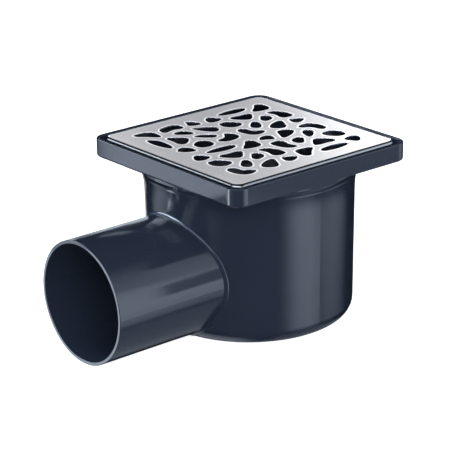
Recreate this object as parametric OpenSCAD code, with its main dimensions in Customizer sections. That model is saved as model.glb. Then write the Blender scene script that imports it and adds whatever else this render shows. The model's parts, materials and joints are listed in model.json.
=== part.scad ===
// Floor gully with a removable bell trap, a side outlet spigot and a pebble-pattern grate.
// Origin: axis of the sump on the plane the gully stands on. +Z is up, the outlet points to -Y.

/* [Head] */
// Side of the square head
head_side = 200; // [190:1:215]
// Height of the head's outer skirt
head_depth = 17; // [16:0.5:24]
// Radius of the head's upright corners
head_corner = 13; // [10:0.5:16]
// Thickness of the rim round the grate
rim_wall = 3; // [2.4:0.1:4]
// Rounding of the rim's top edges
rim_round = 0.9; // [0.4:0.1:1.1]
// Rounding of the skirt's bottom edge
skirt_round = 2.5; // [1:0.1:2.8]
// Height of the rim's top above the base
height = 160.5; // [150:0.5:200]

/* [Tray] */
// Open gap between the rim and the grate
moat = 4.4; // [3:0.1:6]
// Depth of the pocket that keeps the grate from sliding
seat_step = 2; // [1:0.5:3]
// Width of the shelf that carries the grate
shelf = 5.4; // [3:0.1:6]
// Depth of the tray below the shelf, at the drain opening
tray_depth = 5; // [4:0.5:8]
// Fall of the tray floor towards the drain opening, in degrees
tray_fall = 4; // [1:0.5:5]
// Radius of the tray's inside corners
tray_corner = 5; // [2:0.5:8]
// Thickness of the tray floor at the drain opening
floor_wall = 3.5; // [3:0.1:4.5]
// Tray floor left between the drain opening and the middle of the tray's sides
drain_margin = 7.1; // [5:0.1:12]
// Depth of the recess in the tray floor for the trap's flange
flange_recess = 2; // [1:0.5:3]
// Thickness of the ribs in the head's underside corners
rib = 2.5; // [1.5:0.1:3.5]
// Angle between the ribs of one corner, in degrees
rib_turn = 14; // [10:1:18]

/* [Sump] */
// How far the sump's wall stands inside the head's side, below the neck
sump_inset = 6.1; // [5.5:0.1:10]
// How much the sump's radius narrows down to its foot
sump_taper = 1.3; // [0.5:0.1:4]
// Radius of the sump's rounded foot
foot_round = 14; // [8:0.5:18]
// Thickness of the sump's wall
sump_wall = 3.2; // [2.6:0.1:4]
// Thickness of the sump's floor
sump_floor = 3; // [2.5:0.1:4]
// Height of the neck's fillet below the head
neck_fillet = 8.5; // [5:0.5:9]
// Height over which the wall flares towards the neck
neck_flare = 16; // [10:1:20]
// How far the wall flares outwards at the neck
neck_out = 2.2; // [1:0.1:2.6]
// Ledge left between the top of the neck's fillet and the head's side
neck_ledge = 0.4; // [0.2:0.1:1]

/* [Outlet] */
// Outside diameter of the outlet spigot
outlet_d = 110; // [100:1:112]
// Wall thickness of the outlet spigot
outlet_wall = 3; // [2.6:0.1:4]
// Distance from the sump's axis to the spigot's mouth
outlet_reach = 189; // [160:1:220]
// Length of the spigot's straight end, which goes into the drain pipe's socket
outlet_fit = 75; // [50:1:85]
// Draft of the spigot's root, in degrees
outlet_draft = 0.5; // [0.2:0.1:1]
// Height of the spigot's lowest line, at its root, above the base
outlet_rise = 0.1; // [0.1:0.1:4]
// Rounding of the edges of the spigot's mouth
mouth_round = 0.5; // [0.2:0.1:1]

/* [Grate] */
// Thickness of the grate's sheet
sheet = 1.5; // [1:0.1:2]
// Height of the grate with its folded edge
grate_depth = 8; // [6:0.5:9]
// How far the grate stands above the rim
grate_proud = 1; // [0:0.1:2]
// Radius of the grate's upright corners
grate_corner = 9; // [6:0.5:10]
// Outside radius of the grate's folded edge
grate_bend = 3.2; // [1.8:0.1:3.4]
// Plain border between the grate's edge and the field of pebble openings
grate_border = 15; // [10:0.2:20]

/* [Trap] */
// Wall thickness of the cup and the bell
trap_wall = 2.5; // [2:0.1:3]
// Draft of the cup's and the bell's walls, in degrees
trap_draft = 1.5; // [0.5:0.5:2]
// Outside rounding of the cup's foot
cup_round = 6; // [4:0.5:9]
// Width of the cup's hanging flange
flange = 6.5; // [5:0.5:7]
// Thickness of the rubber sealing ring
seal = 2; // [1.5:0.1:2.5]
// Thickness of the lip that carries the sealing ring
lip = 3; // [2.5:0.1:4]
// Depth of the water seal, from the riser's top to the bell's lower edge
water_seal = 50; // [40:1:60]
// Outside diameter of the riser in the cup
riser_d = 50; // [44:1:56]
// Distance from the flange's top down to the riser's top
riser_drop = 22; // [16:1:30]
// Outside diameter of the bell at its feet
bell_d = 80; // [74:1:90]
// Free height inside the bell above the riser
bell_room = 9; // [6:0.5:12]
// Height of the feet that hold the bell's edge off the cup's floor
bell_foot = 10; // [8:0.5:14]
// Rounding of the bell's crown
crown_round = 5; // [4:0.5:8]
// Width of each of the bell's feet
foot_w = 14; // [8:1:24]
// Height of the grip on the bell
grip_h = 12; // [9:0.5:14]
// Radius of the grip's head
grip_r = 9; // [7:0.5:12]

/* [Fits] */
// Gap round the grate's folded edge in its pocket
grate_gap = 0.5; // [0.3:0.1:1]
// Gap round the cup and its flange in the drain opening
cup_gap = 0.6; // [0.3:0.1:1]
// Gap between the bell's guide fins and the riser
fin_gap = 0.5; // [0.3:0.1:1]

/* [Hidden] */
$fn = 96;
// Overshoot of a cutting solid past the face it cuts
cut = 1;
// Depth and radius of the grip's waist, height of the head above it, and its rounding
grip_waist = 3.5;
grip_waist_r = 4.5;
grip_head = 2.5;
grip_round = 1;

// Levels, from the top down
z_grate = height + grate_proud;
z_shelf = z_grate - grate_depth;
z_moat = z_shelf + seat_step;
z_tray = z_shelf - tray_depth;
z_tray_under = z_tray - floor_wall;
z_head = height - head_depth;
z_flange = z_tray - flange_recess;
z_seal = z_flange - trap_wall - seal;
z_lip = z_seal - lip;
z_neck = z_head - neck_fillet;
z_riser = z_flange - riser_drop;
z_bell = z_riser - water_seal;
z_cup = z_bell - bell_foot;

// Sides and radii
rim_side = head_side - 2 * rim_wall;
grate_side = rim_side - 2 * moat;
pocket_side = grate_side + 2 * grate_gap;
tray_side = grate_side - 2 * shelf;
sump_r = head_side / 2 - sump_inset;
foot_r = sump_r - sump_taper;
neck_r = sump_r + neck_out;
neck_top_r = head_side / 2 - neck_ledge;
drain_r = tray_side / 2 - drain_margin;
flange_r = drain_r - cup_gap;
cup_r = flange_r - flange;
lip_r = cup_r + cup_gap;
riser_r = riser_d / 2;
bell_r = bell_d / 2;
outlet_r = outlet_d / 2;

// The spigot's root: where it leaves the sump's side, where its draft ends, and its radius
y_saddle = sqrt(pow(foot_r, 2) - pow(outlet_r, 2));
y_root = outlet_reach - outlet_fit;
root_r = outlet_r + (y_root - y_saddle) * tan(outlet_draft);
z_outlet = outlet_rise + root_r;

plastic = [0.17, 0.19, 0.24];
steel = [0.78, 0.79, 0.80];
rubber = [0.06, 0.06, 0.07];

// ---------------------------------------------------------------- helpers

// Square with rounded corners, centred
module rounded_square(side, corner) {
    square([side, side - 2 * corner], center = true);
    square([side - 2 * corner, side], center = true);
    for (x = [-1, 1], y = [-1, 1])
        translate([x, y] * (side / 2 - corner)) circle(corner);
}

// Upright prism on a rounded square, from z0 to z1
module rounded_prism(side, corner, z0, z1) {
    translate([0, 0, z0]) linear_extrude(z1 - z0) rounded_square(side, corner);
}

// Sweeps a section round a rounded square. The section's x runs inwards from the
// outer face and must not pass the corner's centre; its y is height.
module around_square(side, corner) {
    for (quarter = [0:3]) rotate(90 * quarter) {
        translate([side / 2, 0, 0]) rotate([90, 0, 0])
            linear_extrude(side - 2 * corner, center = true) mirror([1, 0]) children();
        translate([side / 2 - corner, side / 2 - corner, 0])
            rotate_extrude(angle = 90) translate([corner, 0]) mirror([1, 0]) children();
    }
}

// What a rounding of radius r takes off a corner at the origin, filling the quadrant
// given by the signs sx and sy
module corner_cut(r, sx, sy) {
    mirror([sx < 0 ? 1 : 0, 0]) mirror([0, sy < 0 ? 1 : 0])
        difference() {
            translate([-cut, -cut]) square(r + cut);
            translate([r, r]) circle(r);
        }
}

// Drafted round wall, closed by a rounded foot: half section from z0 to z1
module footed_section(r_foot, r_top, z0, z1, round) {
    polygon([[0, z0], [r_foot - round, z0], [r_foot, z0 + round], [r_top, z1], [0, z1]]);
    translate([r_foot - round, z0 + round]) circle(round);
}

// Points of a smooth closed curve drawn by the corners of a loop
function smooth_loop(corners, steps = 4) = [
    for (i = [0:len(corners) - 1])
        let (here = corners[i],
             from = (corners[(i + len(corners) - 1) % len(corners)] + here) / 2,
             to = (here + corners[(i + 1) % len(corners)]) / 2)
        for (k = [0:steps - 1])
            let (t = k / steps)
            from * pow(1 - t, 2) + here * 2 * t * (1 - t) + to * pow(t, 2)
];

// ---------------------------------------------------------------- gully body

// Section of the head's skirt with the rim that stands round the grate
module head_section() {
    difference() {
        union() {
            translate([0, z_head]) square([head_corner, z_moat - z_head]);
            translate([0, z_moat - cut]) square([rim_wall, height - z_moat + cut]);
        }
        translate([0, height]) corner_cut(rim_round, 1, -1);
        translate([rim_wall, height]) corner_cut(rim_round, -1, -1);
        translate([0, z_head]) corner_cut(skirt_round, 1, 1);
    }
}

// Outer shape of the sump: drafted wall, flare and fillet under the head
module sump_section() {
    flare_r = (pow(neck_flare, 2) + pow(neck_out, 2)) / (2 * neck_out);
    z_flare = z_neck - neck_flare;
    footed_section(foot_r, sump_r, 0, z_flare, foot_round);
    difference() {
        translate([0, z_flare]) square([neck_r, neck_flare]);
        translate([sump_r + flare_r, z_flare]) circle(flare_r);
    }
    difference() {
        translate([0, z_neck]) square([neck_top_r, z_head - z_neck + skirt_round]);
        translate([neck_r + neck_fillet, z_neck]) circle(neck_fillet);
    }
}

// Hollow of the sump, with the ring left standing that carries the trap
module sump_hollow_section() {
    difference() {
        footed_section(foot_r - sump_wall, sump_r - sump_wall, sump_floor, z_tray_under,
                       foot_round - sump_wall);
        translate([lip_r, z_lip]) square([drain_r + floor_wall - lip_r, z_tray_under - z_lip + cut]);
    }
    translate([0, z_tray_under - cut]) square([lip_r, z_tray - z_tray_under + 2 * cut]);
    translate([0, z_seal]) square([drain_r, z_tray - z_seal + cut]);
}

// Inside of the tray: moat and pocket for the grate, then a floor that falls to the drain
module tray_hollow() {
    inner_corner = head_corner - rim_wall;
    rounded_prism(rim_side, inner_corner, z_moat, height + cut);
    rounded_prism(pocket_side, grate_corner + grate_gap, z_shelf, z_moat + cut);
    intersection() {
        rounded_prism(tray_side, tray_corner, z_tray, z_shelf + cut);
        rotate_extrude() polygon([
            [0, z_tray], [drain_r, z_tray],
            [head_side, z_tray + (head_side - drain_r) * tan(tray_fall)],
            [head_side, z_grate + head_side], [0, z_grate + head_side]]);
    }
}

// Hollows under the head's four corners, with ribs left between skirt and sump
module corner_pockets() {
    difference() {
        rounded_prism(rim_side, head_corner - rim_wall, z_head - cut, z_shelf - floor_wall);
        rounded_prism(tray_side + 2 * rim_wall, tray_corner + rim_wall, z_tray_under, height);
        translate([0, 0, z_head - 2 * cut]) cylinder(r = neck_top_r + skirt_round, h = head_depth);
        for (quarter = [0:3], turn = [-rib_turn, 0, rib_turn])
            rotate(90 * quarter + 45 + turn) translate([0, -rib / 2, z_head])
                cube([head_side, rib, head_depth]);
    }
}

// Outlet spigot, its axis along -Y
module along_outlet() {
    translate([0, 0, z_outlet]) rotate([90, 0, 0]) children();
}

// Outside of the spigot: a drafted root, then a straight end with a rounded edge
module spigot_solid() {
    along_outlet() rotate_extrude() difference() {
        polygon([[0, 0], [root_r, 0], [root_r, y_saddle], [outlet_r, y_root],
                 [outlet_r, outlet_reach], [0, outlet_reach]]);
        translate([outlet_r, outlet_reach]) corner_cut(mouth_round, -1, -1);
    }
}

module spigot_bore() {
    bore_r = outlet_r - outlet_wall;
    along_outlet() rotate_extrude() {
        square([bore_r, outlet_reach + cut]);
        translate([bore_r + mouth_round, outlet_reach - mouth_round])
            difference() {
                translate([-mouth_round - cut, 0]) square([mouth_round + cut, mouth_round + cut]);
                circle(mouth_round);
            }
    }
}

module gully_body() {
    color(plastic) difference() {
        union() {
            around_square(head_side, head_corner) head_section();
            translate([0, 0, (z_head + z_moat) / 2])
                cube([head_side - 2 * head_corner, head_side - 2 * head_corner, z_moat - z_head],
                     center = true);
            rotate_extrude() sump_section();
            spigot_solid();
        }
        rotate_extrude() sump_hollow_section();
        tray_hollow();
        corner_pockets();
        spigot_bore();
    }
}

// ---------------------------------------------------------------- trap

// Rubber ring between the cup's flange and the lip in the drain opening
module seal_ring() {
    color(rubber) translate([0, 0, z_seal]) difference() {
        cylinder(r = flange_r, h = seal);
        translate([0, 0, -cut]) cylinder(r = lip_r, h = seal + 2 * cut);
    }
}

// Cup that holds the sealing water, with the riser it drains through
module trap_cup() {
    taper = tan(trap_draft);
    cup_h = z_flange - z_cup;
    cup_foot_r = cup_r - cup_h * taper;
    color(plastic) difference() {
        union() {
            rotate_extrude() difference() {
                footed_section(cup_foot_r, cup_r, z_cup - trap_wall, z_flange, cup_round);
                footed_section(cup_foot_r - trap_wall, cup_r - trap_wall, z_cup, z_flange + cut,
                               cup_round - trap_wall);
            }
            translate([0, 0, z_flange - trap_wall]) difference() {
                cylinder(r = flange_r, h = trap_wall);
                translate([0, 0, -cut]) cylinder(r = cup_r - trap_wall / 2, h = trap_wall + 2 * cut);
            }
            translate([0, 0, z_cup - trap_wall]) cylinder(r = riser_r, h = z_riser - z_cup + trap_wall);
        }
        translate([0, 0, z_cup - trap_wall - cut])
            cylinder(r = riser_r - trap_wall, h = z_riser - z_cup + trap_wall + 2 * cut);
    }
}

// Half section of the bell's shape from z0 up, drafted under a rounded crown and taken in by inset
module bell_section(inset, z0) {
    z_top = z_riser + bell_room + trap_wall;
    taper = tan(trap_draft);
    crown_r = bell_r - (z_top - crown_round - z_cup) * taper;
    translate([0, z_top - inset]) mirror([0, 1])
        footed_section(crown_r - inset, bell_r - inset + (z_cup - z0) * taper,
                       0, z_top - inset - z0, crown_round - inset);
}

// Half section of the grip: a waisted knob
module grip_section(h) {
    difference() {
        square([grip_r, h]);
        translate([grip_r + grip_waist_r - grip_waist, h / 2 - grip_head / 2]) circle(grip_waist_r);
        translate([grip_r, h]) corner_cut(grip_round, -1, -1);
    }
}

// Bell over the riser, on feet, with guide fins inside and a grip on top
module trap_bell() {
    z_roof = z_riser + bell_room;
    color(plastic) {
        difference() {
            rotate_extrude() difference() {
                bell_section(0, z_cup);
                bell_section(trap_wall, z_cup - cut);
            }
            translate([0, 0, z_cup - cut]) difference() {
                cylinder(r = bell_d, h = bell_foot + cut);
                for (turn = [-45, 45]) rotate(turn)
                    cube([3 * bell_d, foot_w, 3 * bell_foot], center = true);
            }
        }
        intersection() {
            rotate_extrude() bell_section(trap_wall / 2, z_bell);
            for (quarter = [0:3]) rotate(90 * quarter + 45)
                translate([riser_r + fin_gap, -trap_wall / 2, z_bell - cut])
                    cube([bell_d, trap_wall, height]);
        }
        translate([0, 0, z_roof + trap_wall / 2]) rotate_extrude() grip_section(grip_h + trap_wall / 2);
    }
}

// ---------------------------------------------------------------- grate

// Corners of the smooth outlines of one group of pebble openings, in hundredths of the group's side
pebbles = [
    [[-45, 38.5], [-42.5, 47.5], [-29.5, 47.5], [-18.5, 43], [-18, 29.5], [-22, 18], [-28, 22],
     [-34.5, 31]],
    [[-12, 30], [-9.5, 41], [-1.5, 46], [13, 48.5], [21, 44], [21, 31], [14, 27.5], [4, 31.5],
     [-6.5, 27.5]],
    [[25.5, 31], [31, 39.5], [34.5, 48], [41.5, 42.5], [46, 31], [41, 25.5], [33.5, 27]],
    [[-45.5, 16.5], [-41, 22.5], [-33.5, 16.5], [-31, 0], [-34.5, -15.5], [-39, -23], [-44, -16.5],
     [-47, 0]],
    [[-23.5, 9], [-20, 14], [-10.5, 7.5], [-0.5, -2], [-6, -11.5], [-18.5, -21], [-25.5, -14],
     [-23, -5]],
    [[-6, 15.5], [-3, 22], [7.5, 23.5], [14.5, 16.5], [16.5, 6], [9, 3], [1.5, 9]],
    [[22, 18], [24.5, 22.5], [34.5, 17.5], [47, 11.5], [49.5, 1.5], [38.5, -9.5], [28, 1.5]],
    [[4.5, -6], [9, -1.5], [23, -6.5], [32, -16.5], [23, -24.5], [13, -16.5]],
    [[-43.5, -34.5], [-34.5, -27], [-25.5, -25], [-20.5, -38.5], [-24.5, -48.5], [-37, -43.5]],
    [[-15.5, -34.5], [-13.5, -26.5], [1.5, -18], [9, -25.5], [9.5, -38.5], [-1.5, -46],
     [-14, -42.5]],
    [[16, -37], [18.5, -31], [32, -30], [37, -19], [44, -18], [49.5, -32], [42.5, -43],
     [23, -45.5]],
];
// Place and turn of the four groups
groups = [[-1, 1, 0], [1, 1, 180], [-1, -1, 90], [1, -1, 0]];

module pebble_openings() {
    tile = grate_side / 2 - grate_border;
    for (group = groups)
        translate([group.x, group.y] * tile / 2) rotate(group[2])
            for (outline = pebbles) polygon(smooth_loop(outline * tile / 100));
}

// Section of the grate's folded edge
module grate_section() {
    inner_bend = grate_bend - sheet;
    difference() {
        translate([0, z_shelf]) square([grate_corner, grate_depth]);
        translate([0, z_grate]) corner_cut(grate_bend, 1, -1);
        difference() {
            translate([sheet, z_shelf - cut]) square([grate_corner, grate_depth - sheet + cut]);
            translate([sheet, z_grate - sheet]) corner_cut(inner_bend, 1, -1);
        }
    }
}

module grate() {
    flat_side = grate_side - 2 * grate_corner;
    color(steel) {
        around_square(grate_side, grate_corner) grate_section();
        translate([0, 0, z_grate - sheet]) linear_extrude(sheet) difference() {
            square(flat_side, center = true);
            pebble_openings();
        }
    }
}

gully_body();
seal_ring();
trap_cup();
trap_bell();
grate();
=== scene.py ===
# %% [markdown]
# # A floor gully under studio light
#
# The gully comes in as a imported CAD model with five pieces: the moulded body, the
# sealing ring, the trap's cup and bell, and the folded steel grate. Their shapes and
# places are final. This script gives them their finish, adds the small bead that a
# mould leaves in the corner where the outlet meets the sump, and sets up the studio.
#
# Everything is in metres. The origin is the axis of the sump on the floor, Z is up and
# the outlet points to -Y.

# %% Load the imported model
import json
import math

import bmesh
import bpy
from mathutils import Matrix, Vector


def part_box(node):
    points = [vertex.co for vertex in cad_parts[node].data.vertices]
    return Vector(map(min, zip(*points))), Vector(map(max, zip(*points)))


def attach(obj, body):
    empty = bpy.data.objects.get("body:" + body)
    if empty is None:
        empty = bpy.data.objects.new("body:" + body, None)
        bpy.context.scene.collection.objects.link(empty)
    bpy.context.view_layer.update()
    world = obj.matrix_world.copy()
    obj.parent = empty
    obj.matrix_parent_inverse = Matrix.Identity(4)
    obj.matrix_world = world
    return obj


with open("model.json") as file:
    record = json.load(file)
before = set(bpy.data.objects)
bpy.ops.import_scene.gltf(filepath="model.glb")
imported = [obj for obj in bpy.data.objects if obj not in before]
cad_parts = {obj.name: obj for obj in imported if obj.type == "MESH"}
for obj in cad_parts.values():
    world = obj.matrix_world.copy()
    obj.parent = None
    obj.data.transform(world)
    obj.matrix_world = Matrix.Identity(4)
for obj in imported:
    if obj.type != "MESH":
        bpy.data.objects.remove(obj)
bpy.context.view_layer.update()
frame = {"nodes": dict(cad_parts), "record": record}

print("pieces:", sorted(frame["nodes"]))

# %% [markdown]
# ## The camera
#
# A long lens from just under two metres keeps the edges of the square head nearly
# parallel, as in a catalogue picture. The camera could be aimed by hand with three
# rotation angles, but a frame of three directions is easier to read: one that points
# back from the gully to the camera, one to the right and one up. The slide moves the
# camera to the right and up in that frame, and the roll tips the frame a little.

# %% Aim the camera
CAMERA_AZIMUTH = math.radians(50.18)
CAMERA_ELEVATION = math.radians(20.27)
CAMERA_ROLL = math.radians(-0.79)
CAMERA_DISTANCE = 1.8668
CAMERA_SLIDE = (-0.0224, 0.0735)
CAMERA_LENS = 163.2


def direction(azimuth, elevation):
    """Unit vector from the gully, with azimuth 0 towards -Y and turning to +X."""
    flat = math.cos(elevation)
    return Vector((math.sin(azimuth) * flat, -math.cos(azimuth) * flat, math.sin(elevation)))


def aimed_camera():
    back = direction(CAMERA_AZIMUTH, CAMERA_ELEVATION)
    right = Vector((math.cos(CAMERA_AZIMUTH), math.sin(CAMERA_AZIMUTH), 0))
    turn = Matrix.Rotation(CAMERA_ROLL, 3, back)
    right, up = turn @ right, turn @ back.cross(right)
    place = back * CAMERA_DISTANCE + right * CAMERA_SLIDE[0] + up * CAMERA_SLIDE[1]
    camera = bpy.data.objects.new("camera", bpy.data.cameras.new("camera"))
    camera.data.lens = CAMERA_LENS
    facing = Matrix((right, up, back)).transposed().to_4x4()
    camera.matrix_world = Matrix.Translation(place) @ facing
    bpy.context.scene.collection.objects.link(camera)
    return camera


bpy.context.scene.camera = aimed_camera()
bpy.context.scene.view_settings.view_transform = "Standard"
print("camera at", [round(c, 3) for c in bpy.context.scene.camera.location])

# %% [markdown]
# ## Writing shaders as formulas
#
# A procedural finish is mostly arithmetic on patterns. Wiring each sum by hand takes
# many lines, so a small class wraps a socket and lets Python's operators add the Math
# nodes: `1 - haze * 0.3` builds the two nodes it needs. Every other node comes from one
# method, which takes the node's type, its settings and the values or links of its
# sockets.


# %% A socket that can be added and multiplied
class Signal:
    """A number that varies over a surface, usable in Python arithmetic."""

    def __init__(self, paint, socket):
        self.paint = paint
        self.socket = socket

    def combined(self, operation, first, second):
        return self.paint.node("ShaderNodeMath", {"operation": operation}, {0: first, 1: second})

    def __add__(self, other):
        return self.combined("ADD", self, other)

    def __mul__(self, other):
        return self.combined("MULTIPLY", self, other)

    def __rsub__(self, other):
        return self.combined("SUBTRACT", other, self)

    __radd__ = __add__
    __rmul__ = __mul__


class Paint:
    """The node tree of one material or of the world."""

    def __init__(self, tree, for_world=False):
        self.tree = tree
        self.for_world = for_world
        tree.nodes.clear()

    def node(self, kind, settings=None, inputs=None, output=0):
        made = self.tree.nodes.new(kind)
        for name, value in (settings or {}).items():
            setattr(made, name, value)
        for name, value in (inputs or {}).items():
            if isinstance(value, Signal):
                self.tree.links.new(value.socket, made.inputs[name])
            else:
                made.inputs[name].default_value = value
        return Signal(self, made.outputs[output]) if made.outputs else made

    def noise(self, where, scale, detail=2.0, roughness=0.5):
        return self.node("ShaderNodeTexNoise", None,
                         {"Vector": where, "Scale": scale, "Detail": detail, "Roughness": roughness})

    def stretched(self, where, scale):
        return self.node("ShaderNodeMapping", None, {"Vector": where, "Scale": scale})

    def blend(self, share, first, second):
        """A colour between two, by share. Sockets 6 and 7 are the Mix node's colours."""
        return self.node("ShaderNodeMix", {"data_type": "RGBA"},
                         {"Factor": share, 6: first, 7: second}, output=2)

    def between(self, value, low, high):
        """0 below low, 1 above high, with a smooth step between."""
        return self.node("ShaderNodeMapRange", {"interpolation_type": "SMOOTHSTEP"},
                         {"Value": value, "From Min": low, "From Max": high})

    def part_of(self, where, axis):
        return self.node("ShaderNodeSeparateXYZ", None, {"Vector": where}, output=axis)

    def size_of(self, value):
        return self.node("ShaderNodeMath", {"operation": "ABSOLUTE"}, {0: value})

    def finish_with(self, surface):
        """Connects the last shader to the tree's output."""
        kind = "ShaderNodeOutputWorld" if self.for_world else "ShaderNodeOutputMaterial"
        self.node(kind, None, {"Surface": surface})


def finish_named(name):
    material = bpy.data.materials.new(name)
    material.use_nodes = True
    return material, Paint(material.node_tree)


print("shader helpers ready")

# %% [markdown]
# ## Moulded plastic
#
# The body is injection moulded in anthracite with a blue cast and comes out of a
# polished mould, so it is glossy. A flat colour with one roughness would look like
# computer plastic. The real surface differs in three faint ways: the pigment drifts a
# little, handling and packing leave a haze that dulls the gloss in patches, and the
# melt leaves very shallow waves. Noise patterns of different scales stand for all
# three, each so weak that it only shows where a light is mirrored.


# %% The plastic finish
def moulded_plastic(name, colour, gloss, haze):
    material, paint = finish_named(name)
    where = paint.node("ShaderNodeTexCoord", output="Object")
    drift = paint.noise(where, 9, detail=3)
    patches = paint.noise(where, 22, detail=5, roughness=0.6)
    scuffs = paint.noise(paint.stretched(where, (1, 1, 0.15)), 380, detail=2)
    lighter = tuple(c * 1.12 for c in colour)
    tint = paint.blend(drift, (*colour, 1), (*lighter, 1))
    roughness = gloss + haze * paint.between(patches, 0.42, 0.72) + scuffs * 0.01
    waves = paint.noise(where, 60, detail=1)
    bump = paint.node("ShaderNodeBump", None,
                      {"Strength": 0.12, "Distance": 0.0004, "Height": waves})
    shader = paint.node("ShaderNodeBsdfPrincipled", None,
                        {"Base Color": tint, "Roughness": roughness, "Normal": bump,
                         "IOR": 1.5})
    paint.finish_with(shader)
    return material


body_plastic = moulded_plastic("body plastic", (0.0105, 0.0140, 0.0230), gloss=0.11, haze=0.06)
trap_plastic = moulded_plastic("trap plastic", (0.013, 0.015, 0.019), gloss=0.22, haze=0.06)
print("plastics:", body_plastic.name, trap_plastic.name)

# %% [markdown]
# ## Brushed steel
#
# The grate is cut and folded from stainless sheet with a satin grain. Brushing leaves
# thousands of shallow scratches in one direction. Real grooves would need millions of
# faces; a noise stretched hundreds of times along the grain and fed to roughness and
# bump gives the same streaky sheen. A slower noise clouds the brightness, as hand
# polishing does, and a fine speckle stands for the dents of handling.
#
# Three masks tell the parts of the sheet apart. The flat top is the one that faces
# straight up: it is brushed, so it is duller than the fold and the cut walls, and these
# are painted darker than the top, as painted shade. The rims of the openings are painted
# near white, as a painted highlight. They could be cut into the mesh, but the Bevel node
# finds them: near an edge its rounded normal turns away from the true one. The third
# mask keeps that painted highlight off the outer fold.


# %% Masks on the sheet
FIELD_EDGE = (0.082, 0.085)
# Width of the painted highlight along the rims of the openings
RIM_HIGHLIGHT_WIDTH = 0.0036


def facing_up(paint, normal):
    return paint.between(paint.part_of(normal, "Z"), 0.97, 0.998)


def near_an_edge(paint, normal):
    rounded = paint.node("ShaderNodeBevel", {"samples": 12}, {"Radius": RIM_HIGHLIGHT_WIDTH})
    agreement = paint.node("ShaderNodeVectorMath", {"operation": "DOT_PRODUCT"},
                           {0: rounded, 1: normal}, output=1)
    return 1 - paint.between(agreement, 0.95, 0.9995)


def inside_the_fold(paint, where):
    across, along = (paint.size_of(paint.part_of(where, axis)) for axis in "XY")
    furthest = paint.node("ShaderNodeMath", {"operation": "MAXIMUM"}, {0: across, 1: along})
    return 1 - paint.between(furthest, *FIELD_EDGE)


print("bright rims:", RIM_HIGHLIGHT_WIDTH * 1000, "mm wide")


# %% The steel finish
# Painted shade: the fold and the cut walls are coloured darker than the flat top
FOLD_PAINTED_SHADE = (0.36, 0.36, 0.37, 1)
# Painted highlight: the rims of the openings are coloured near white
RIM_PAINTED_HIGHLIGHT = (0.96, 0.96, 0.96, 1)


def brushed_steel(name, colour):
    material, paint = finish_named(name)
    where = paint.node("ShaderNodeTexCoord", output="Object")
    grain = paint.noise(paint.stretched(where, (14, 1400, 400)), 1, detail=4, roughness=0.6)
    clouds = paint.noise(where, 30, detail=4)
    speckle = paint.between(paint.noise(where, 520, detail=2), 0.3, 0.7)
    normal = paint.node("ShaderNodeNewGeometry", output="Normal")
    flat = facing_up(paint, normal)
    # Mask of the painted highlight along the rims of the openings
    rim_highlight = near_an_edge(paint, normal) * inside_the_fold(paint, where)

    darker = tuple(c * 0.76 for c in colour)
    tint = paint.blend(grain * 0.3 + clouds * 0.2 + speckle * 0.5, (*darker, 1), (*colour, 1))
    # Painted shade on the fold and the cut walls
    tint = paint.blend(flat, FOLD_PAINTED_SHADE, tint)
    # Painted highlight along the rims of the openings
    tint = paint.blend(rim_highlight, tint, RIM_PAINTED_HIGHLIGHT)
    eased = paint.node("ShaderNodeBevel", {"samples": 6}, {"Radius": 0.0010})
    bump = paint.node("ShaderNodeBump", None,
                      {"Strength": 0.15, "Distance": 0.00005, "Height": grain, "Normal": eased})
    shader = paint.node("ShaderNodeBsdfPrincipled", None,
                        {"Base Color": tint, "Metallic": 1.0, "Normal": bump,
                         "Roughness": 0.12 + flat * 0.28 + grain * 0.08 + clouds * 0.06})
    paint.finish_with(shader)
    return material


stainless = brushed_steel("stainless sheet", (0.55, 0.55, 0.56))
print("metal:", stainless.name)

# %% [markdown]
# ## Rubber
#
# The sealing ring is black rubber, dull and slightly bloomed with a grey dust where it
# has aged in its box.


# %% The rubber finish
def seal_rubber_finish(name):
    material, paint = finish_named(name)
    where = paint.node("ShaderNodeTexCoord", output="Object")
    bloom = paint.between(paint.noise(where, 70, detail=5), 0.45, 0.75)
    tint = paint.blend(bloom, (0.012, 0.012, 0.013, 1), (0.03, 0.03, 0.031, 1))
    shader = paint.node("ShaderNodeBsdfPrincipled", None,
                        {"Base Color": tint, "Roughness": 0.62 + bloom * 0.2})
    paint.finish_with(shader)
    return material


seal_rubber = seal_rubber_finish("seal rubber")
print("rubber:", seal_rubber.name)

# %% [markdown]
# ## A finish for each piece
#
# The trap is moulded apart from the body, in a plastic that is less blue and less
# glossy, so its cup and bell share a finish of their own. A table from piece to finish
# shows at a glance who wears what. Each piece's list of materials is emptied first, so
# that the finish is the only one on it.

# %% Give the CAD pieces their finish
finishes = {
    "gully_body": body_plastic,
    "seal_ring": seal_rubber,
    "trap_cup": trap_plastic,
    "trap_bell": trap_plastic,
    "grate": stainless,
}
for node, finish in finishes.items():
    piece = frame["nodes"][node]
    piece.data.materials.clear()
    piece.data.materials.append(finish)
    print(node, "->", finish.name)

# %% [markdown]
# ## The bead at the outlet
#
# Where the outlet's cylinder runs into the sump, the mould has a small rounded bead in
# the corner. The corner's line is a saddle: seen along the outlet it is a circle, and
# each of its points lies on the sump's wall. So the bead starts as a ring, a small
# circle spun about the outlet's axis, and each of its points is then pushed along the
# axis until the ring lies on the wall. Cutting a fillet into the body would give the
# same line, but the body's own faces stay as they are. The ring is flat where it meets
# the floor.
#
# To lie on the wall it needs the sump's outline: a radius that grows a little with
# height above a rounded foot.

# %% The sump's outline
FOOT_RADIUS, FOOT_ROUND = 0.0926, 0.014
TAPER, TAPER_HEIGHT = 0.0013, 0.105


def wall_radius(height):
    """Radius of the sump's outside at a height, through its rounded foot."""
    if height < FOOT_ROUND:
        rise = math.sqrt(FOOT_ROUND ** 2 - (FOOT_ROUND - max(height, 0)) ** 2)
        return FOOT_RADIUS - FOOT_ROUND + rise
    return FOOT_RADIUS + (height - FOOT_ROUND) * TAPER / TAPER_HEIGHT


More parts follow.
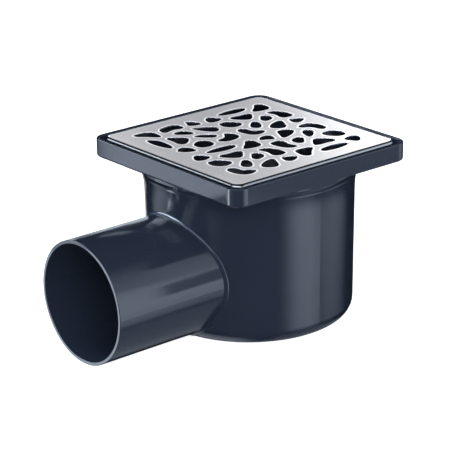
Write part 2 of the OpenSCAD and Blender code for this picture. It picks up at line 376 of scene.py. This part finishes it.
print("sump radius at 5 cm:", round(wall_radius(0.05), 4), "m")

# %% The bead
BEAD_RADIUS = 0.0021
BEAD_SUNK = 0.0001
outlet = next(m for m in frame["record"]["mounts"] if m["name"] == "outlet_spigot")
outlet_height = outlet["pos_m"][2]
root_radius = outlet_height - BEAD_SUNK


def outlet_bead():
    mesh = bpy.data.meshes.new("outlet_bead")
    shape = bmesh.new()
    upright = Matrix.Rotation(math.pi / 2, 4, "Z") @ Matrix.Rotation(math.pi / 2, 4, "X")
    bmesh.ops.create_circle(shape, segments=16, radius=BEAD_RADIUS, matrix=upright)
    bmesh.ops.translate(shape, vec=(0, 0, outlet_height + root_radius), verts=shape.verts)
    bmesh.ops.spin(shape, geom=shape.edges[:], cent=(0, 0, outlet_height), axis=(0, 1, 0),
                   angle=2 * math.pi, steps=144, use_merge=True)
    for point in shape.verts:
        point.co.z = max(point.co.z, 0)
        point.co.y -= math.sqrt(wall_radius(point.co.z) ** 2 - point.co.x ** 2)
    bmesh.ops.recalc_face_normals(shape, faces=shape.faces)
    for face in shape.faces:
        face.smooth = True
    shape.to_mesh(mesh)
    shape.free()
    bead = bpy.data.objects.new("outlet_bead", mesh)
    bpy.context.scene.collection.objects.link(bead)
    mesh.materials.append(body_plastic)
    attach(bead, "root")
    return bead


bead = outlet_bead()
print("bead:", len(bead.data.polygons), "faces")

# %% [markdown]
# ## The studio
#
# Dark gloss has hardly any colour of its own: what one sees is the studio mirrored in
# it. A photographer therefore lights such a thing in two layers. One layer is broad
# soft light that brings out the colour. The other is a set of cards and soft boxes,
# each placed by the angle at which it shows in the surface.
#
# The first layer comes from lamps that mirror rays don't see: one disk overhead and one
# in front, which also reaches into the outlet. All azimuths of lamps and boxes are
# counted from the camera, to the right.

# %% Fill lamps
# Lamps and boxes all face this point, near the middle of the gully
AIM = Vector((0, -0.03, 0.08))


def seen_from_gully(azimuth, elevation):
    return direction(CAMERA_AZIMUTH + math.radians(azimuth), math.radians(elevation))


def fill_lamp(name, azimuth, elevation, distance, size, watts):
    """A soft round lamp for the colours alone: mirror images leave it out."""
    light = bpy.data.lights.new(name, "AREA")
    light.shape = "DISK"
    light.size = size
    light.energy = watts
    lamp = bpy.data.objects.new(name, light)
    towards = seen_from_gully(azimuth, elevation)
    lamp.location = AIM + towards * distance
    lamp.rotation_euler = towards.to_track_quat("Z", "Y").to_euler()
    lamp.visible_glossy = False
    bpy.context.scene.collection.objects.link(lamp)
    return lamp


fills = [
    fill_lamp("overhead fill", 0, 75, 1.8, 1.6, 16),
    fill_lamp("front fill", 5, 18, 1.8, 1.2, 22),
]
print("fill lamps:", [(lamp.name, lamp.data.energy) for lamp in fills])

# %% [markdown]
# ## Soft boxes
#
# Each box is a plane that glows, brightest in the middle and fading to its edges. The
# camera doesn't see the boxes and they cast no shadow. An area lamp would do too, but
# its edge is hard, and a glossy tube would show it as a sharp line.


# %% A soft box
def soft_box(name, towards, distance, size, strength, fade, colour, aim, see_through=False):
    """A glowing plane that faces the point aim. fade is the share of each half that dims."""
    mesh = bpy.data.meshes.new(name)
    shape = bmesh.new()
    bmesh.ops.create_grid(shape, x_segments=1, y_segments=1, size=0.5)
    bmesh.ops.scale(shape, vec=(*size, 1), verts=shape.verts)
    shape.to_mesh(mesh)
    shape.free()
    box = bpy.data.objects.new(name, mesh)
    turn = towards.to_track_quat("Z", "Y").to_matrix().to_4x4()
    box.matrix_world = Matrix.Translation(aim + towards * distance) @ turn
    bpy.context.scene.collection.objects.link(box)

    material, paint = finish_named(name)
    where = paint.node("ShaderNodeTexCoord", output="Object")
    glow = strength
    for axis, extent, dim in zip("XY", size, fade):
        off = paint.size_of(paint.part_of(where, axis))
        glow = (1 - paint.between(off, extent / 2 * (1 - dim), extent / 2)) * glow
    light = paint.node("ShaderNodeEmission", None, {"Color": (*colour, 1), "Strength": glow})
    if see_through:
        clear = paint.node("ShaderNodeBsdfTransparent", None, {"Color": (1, 1, 1, 1)})
        light = paint.node("ShaderNodeAddShader", None, {0: light, 1: clear})
    paint.finish_with(light)
    mesh.materials.append(material)
    box.visible_camera = False
    box.visible_shadow = False
    return box


def light_only(box, node_object):
    """Light linking: the box then lights this piece and no other."""
    lit = bpy.data.collections.new("lit by " + box.name)
    lit.objects.link(node_object)
    box.light_linking.receiver_collection = lit


print("soft box helper ready")

# %% [markdown]
# ## Boxes around the gully
#
# A surface mirrors a box where the box stands in the camera's direction, turned over
# at that surface. The sump's right side shows the boxes on the right as upright bands,
# the outlet shows them as a long streak, and the head's left face shows the boxes on
# the left. The flat top of the grate looks past the gully to the back, so two bright
# boxes stand there, with a dim one above them.
#
# The plate and the top of the outlet both look to the back, but there the outlet is
# dark. A photographer would hang a black card between them. Here light linking does
# this: the boxes at the back light the grate alone. In the same way the edge box
# draws only the upper edge of the body's head, and the bead box only the bead.

# %% Place the boxes
COOL = (0.85, 0.97, 1.12)
NEUTRAL = (1.0, 1.0, 1.02)
grate, body = frame["nodes"]["grate"], frame["nodes"]["gully_body"]
# Name, azimuth, elevation, distance, size, strength, fade, colour, the only piece it lights
box_rows = [
    ("right box", 90, 9, 1.2, (2.5, 2.6), 1.6, (1.0, 0.9), COOL, None),
    ("right strip", 62, -2, 1.2, (1.5, 2.4), 2.5, (0.9, 0.9), COOL, None),
    ("left box", -80, -10, 1.2, (3.2, 1.4), 0.62, (1.0, 0.5), COOL, None),
    ("left strip", -113, -16, 1.2, (1.0, 0.9), 0.85, (0.9, 0.5), COOL, None),
    ("fold box", -106, 16, 1.5, (0.8, 1.1), 3.0, (0.3, 0.3), COOL, None),
    ("front box", -22, 36, 1.5, (3.7, 0.6), 4.5, (0.3, 0.4), COOL, None),
    ("top box", 184, 46, 1.5, (1.0, 0.7), 2.2, (0.5, 0.5), NEUTRAL, grate),
    ("back left box", 193, 16, 1.5, (0.24, 0.5), 7.8, (0.4, 0.4), NEUTRAL, grate),
    ("back right box", 167, 15.5, 1.5, (0.3, 0.36), 23.5, (0.5, 0.5), NEUTRAL, grate),
    ("horizon strip", 184, -5, 1.5, (0.42, 0.85), 1.2, (0.2, 0.1), COOL, None),
    ("edge box", -110, 30, 1.5, (1.1, 0.9), 9.0, (0.4, 0.4), COOL, body),
    ("bead box", -108, 44, 1.5, (2.2, 2.0), 17.0, (0.5, 0.5), COOL, bead),
    ("right bounce", 115, -60, 1.2, (1.8, 1.0), 0.35, (0.4, 0.4), COOL, None),
    ("left bounce", -100, -72, 1.2, (1.6, 1.0), 1.0, (0.6, 0.6), COOL, None),
]
for name, azimuth, elevation, distance, size, strength, fade, colour, only in box_rows:
    # The edge box hangs in front of the fold box, which has to be seen through it
    box = soft_box(name, seen_from_gully(azimuth, elevation), distance, size, strength, fade,
                   colour, AIM, see_through=name == "edge box")
    if only:
        light_only(box, only)
print("soft boxes:", [row[0] for row in box_rows])

# %% [markdown]
# ## Cards for the head and the mouth
#
# A flat face mirrors one direction only, so as a whole it is either light or dark. Small
# cards at arm's length decide this for one face at a time: the round sump below looks
# under them. A card's place follows from the face: it is the camera's direction,
# mirrored in it. Each row gives the face by its azimuth, counted from the outlet, the
# place, the card's size, how far it is raised, and its light. The black cards by the
# side corners and below them draw the head's outline against the white.


# %% The cards
def mirrored(normal):
    view = direction(CAMERA_AZIMUTH, CAMERA_ELEVATION)
    return normal * (2 * normal.dot(view)) - view


HEAD_DEPTH = 0.017
CARD_DISTANCE = 0.32
body_low, body_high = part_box("gully_body")
head_half = body_high[0]
head_middle = body_high[2] - HEAD_DEPTH / 2
head_under = body_high[2] - HEAD_DEPTH
mouth_middle = (body_low[2] + 2 * outlet_height) / 2
card_rows = [
    ("front card", 0, (0.02, -head_half, head_middle), (0.185, 0.13), 0.045, 2.4),
    ("corner card", 12.0, (head_half, -head_half, head_middle), (0.085, 0.13), 0.045, 8),
    ("side card", 90, (head_half, 0, head_middle), (0.23, 0.13), 0.045, 0.45),
    ("left black", -24, (-head_half, -head_half, head_middle), (0.19, 0.06), 0.0, 0.01),
    ("right black", 120, (head_half, head_half, head_middle), (0.19, 0.06), 0.0, 0.01),
    ("lower left black", -39.8, (-0.07, -head_half, head_under), (0.22, 0.035), 0.0, 0.01),
    ("lower right black", 140.2, (head_half, 0.07, head_under), (0.22, 0.035), 0.0, 0.01),
    ("mouth card", 0, (0, body_low[1], mouth_middle), (0.18, 0.18), 0.0, 4),
]
for name, azimuth, place, size, raised, strength in card_rows:
    towards = mirrored(direction(math.radians(azimuth), 0))
    card = soft_box(name, towards, CARD_DISTANCE, size, strength, (0.2, 0.1), COOL,
                    Vector(place) + Vector((0, 0, raised)))
    card.visible_diffuse = False
    # The light of a box behind a dark card would otherwise reach the gloss through it
    card.visible_shadow = strength < 1
print("cards:", [row[0] for row in card_rows])

# %% [markdown]
# ## The black tent
#
# Everything else that the gloss could mirror is black cloth: a dome that only mirror
# rays see. It is open behind the gully, so that the edges which look that way mirror
# the white backdrop. The opening is made by deleting the faces of a sphere whose
# middles lie in the window.


# %% The tent
TENT_RADIUS = 3.0
TENT_GLOW = 0.012
WINDOW_AZIMUTH = (176, 200)
WINDOW_ELEVATION = (-21, 12)


def black_tent():
    mesh = bpy.data.meshes.new("tent")
    shape = bmesh.new()
    bmesh.ops.create_uvsphere(shape, u_segments=90, v_segments=60, radius=TENT_RADIUS)
    right_edge = seen_from_gully(WINDOW_AZIMUTH[0], 0)
    bmesh.ops.rotate(shape, matrix=Matrix.Rotation(math.atan2(right_edge.y, right_edge.x), 3, "Z"),
                     verts=shape.verts)
    opened = []
    for face in shape.faces:
        middle = face.calc_center_median().normalized()
        elevation = math.degrees(math.asin(middle.z))
        azimuth = math.degrees(math.atan2(middle.x, -middle.y) - CAMERA_AZIMUTH) % 360
        if (WINDOW_AZIMUTH[0] < azimuth < WINDOW_AZIMUTH[1]
                and WINDOW_ELEVATION[0] < elevation < WINDOW_ELEVATION[1]):
            opened.append(face)
    bmesh.ops.delete(shape, geom=opened, context="FACES")
    bmesh.ops.translate(shape, vec=AIM, verts=shape.verts)
    shape.to_mesh(mesh)
    shape.free()
    tent = bpy.data.objects.new("tent", mesh)
    bpy.context.scene.collection.objects.link(tent)
    material, paint = finish_named("black cloth")
    glow = paint.node("ShaderNodeEmission", None, {"Color": (*COOL, 1), "Strength": TENT_GLOW})
    paint.finish_with(glow)
    mesh.materials.append(material)
    tent.visible_camera = False
    tent.visible_diffuse = False
    tent.visible_shadow = False
    return len(opened)


print("tent faces opened:", black_tent())

# %% [markdown]
# ## Floor and background
#
# The background is white because the floor and the world are white to the camera, and
# the world also to mirror rays, not because more light falls on the gully. A little of
# the floor's own shaded colour is kept, so that the gully's soft shadow stays. The floor
# is left out of the mirror images: the gully then shows the studio down to its foot.
# It lies a hair below the gully, because two faces at one height would flicker.
#
# The world has two strengths: 1, which is white, for the rays that look at it, straight
# or by way of a mirror or glass, and a quarter of that for the light it gives.


# %% The floor and the world
FLOOR_REACH, FLOOR_DROP = 6, 0.0002
FLOOR_GLOW = 0.85
WORLD_FILL = 0.25


def white_floor():
    mesh = bpy.data.meshes.new("floor")
    shape = bmesh.new()
    bmesh.ops.create_grid(shape, x_segments=1, y_segments=1, size=FLOOR_REACH)
    shape.to_mesh(mesh)
    shape.free()
    floor = bpy.data.objects.new("floor", mesh)
    bpy.context.scene.collection.objects.link(floor)
    material, paint = finish_named("floor")
    seen = paint.node("ShaderNodeLightPath", output="Is Camera Ray")
    matt = paint.node("ShaderNodeBsdfDiffuse", None, {"Color": (0.9, 0.9, 0.9, 1)})
    white = paint.node("ShaderNodeEmission", None, {"Color": (1, 1, 1, 1), "Strength": seen * FLOOR_GLOW})
    both = paint.node("ShaderNodeAddShader", None, {0: matt, 1: white})
    paint.finish_with(both)
    mesh.materials.append(material)
    floor.location.z = -FLOOR_DROP
    floor.visible_glossy = False


def studio_world():
    world = bpy.data.worlds.new("studio")
    world.use_nodes = True
    paint = Paint(world.node_tree, for_world=True)
    ray = paint.node("ShaderNodeLightPath", output="Is Camera Ray")
    glossy = paint.node("ShaderNodeLightPath", output="Is Glossy Ray")
    through = paint.node("ShaderNodeLightPath", output="Is Transmission Ray")
    strength = (ray + glossy + through) * (1 - WORLD_FILL) + WORLD_FILL
    sky = paint.node("ShaderNodeBackground", None, {"Color": (1, 1, 1, 1), "Strength": strength})
    paint.finish_with(sky)
    return world


white_floor()
bpy.context.scene.world = studio_world()
print("floor and world ready")
